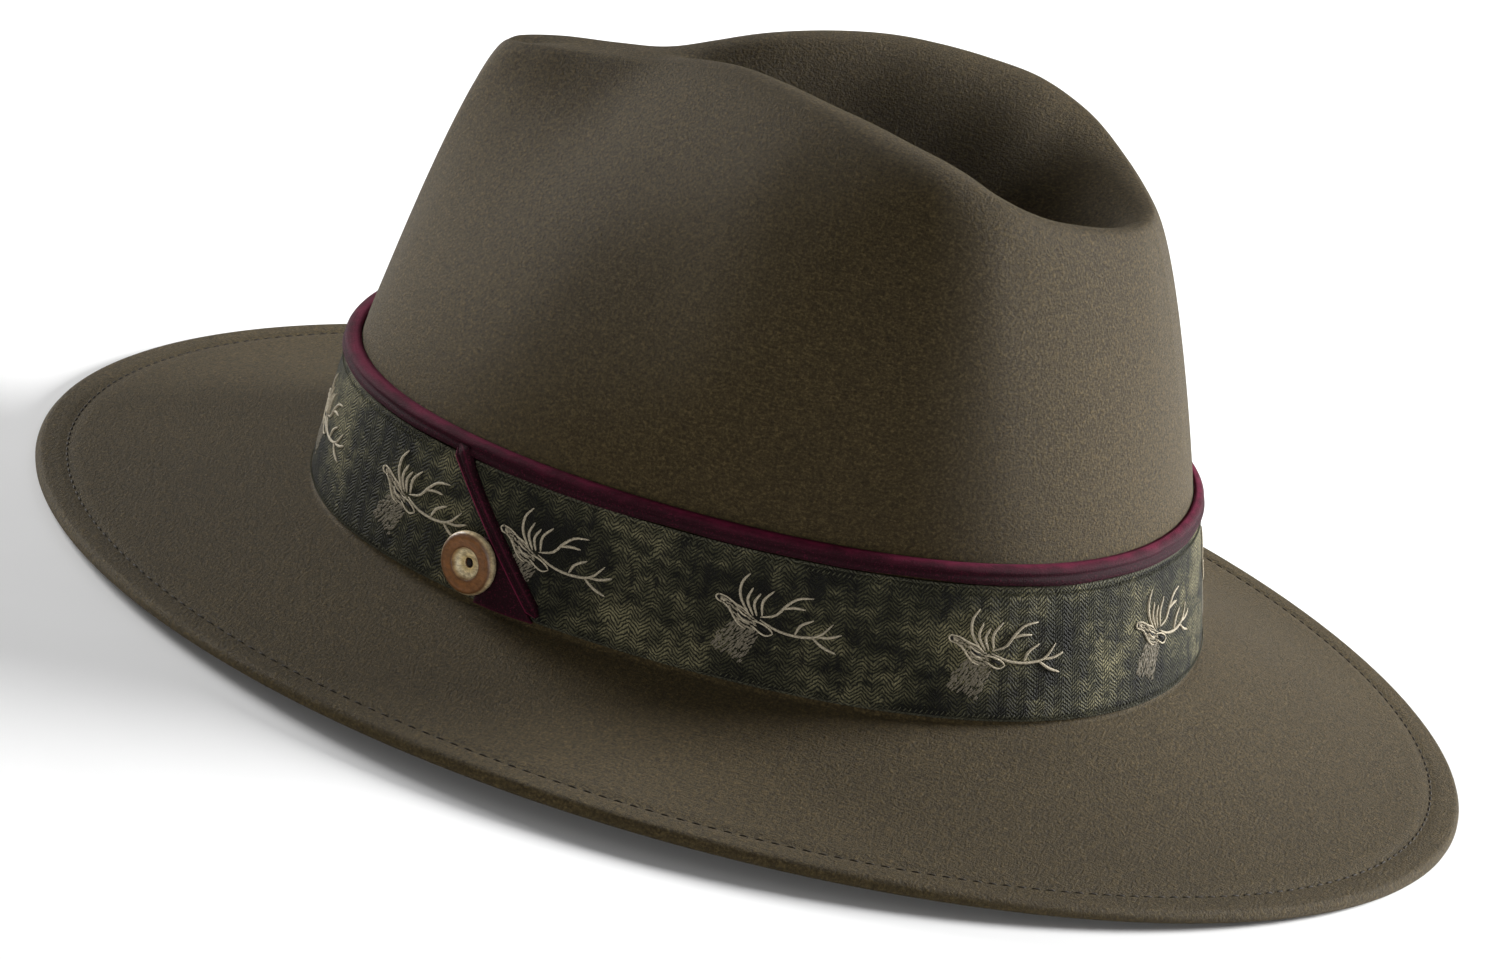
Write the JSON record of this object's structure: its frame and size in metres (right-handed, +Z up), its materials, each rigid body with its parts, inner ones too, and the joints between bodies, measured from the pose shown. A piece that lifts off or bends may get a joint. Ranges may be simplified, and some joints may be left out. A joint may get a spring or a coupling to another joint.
{
  "type": "hunting hat",
  "caption": "Felt hunting hat with a teardrop crown, a wide brim with a stitched hem, a patterned ribbon, velvet trim and a horn button.",
  "frame": {"origin": "on the surface that the hat rests on, under the middle of its brim", "axes": "+Z up, front of the hat along -Y, the wearer's left along +X"},
  "size_m": [0.299, 0.3366, 0.1325],
  "materials": {
    "olive_felt": "olive-brown wool felt with a short nap",
    "woven_ribbon": "woven grey-green ribbon with cream stag heads",
    "bordeaux_velvet": "bordeaux velvet with a bright pile edge",
    "horn": "polished horn, brown face and cream rim",
    "sewing_thread": "dark sewing thread"
  },
  "bodies": {
    "root": {"felt_body": "olive_felt", "ribbon_band": "woven_ribbon", "velvet_piping": "bordeaux_velvet", "velvet_edge": "bordeaux_velvet", "velvet_tab": "bordeaux_velvet", "button": "horn", "button_thread": "sewing_thread"}
  },
  "joints": []
}
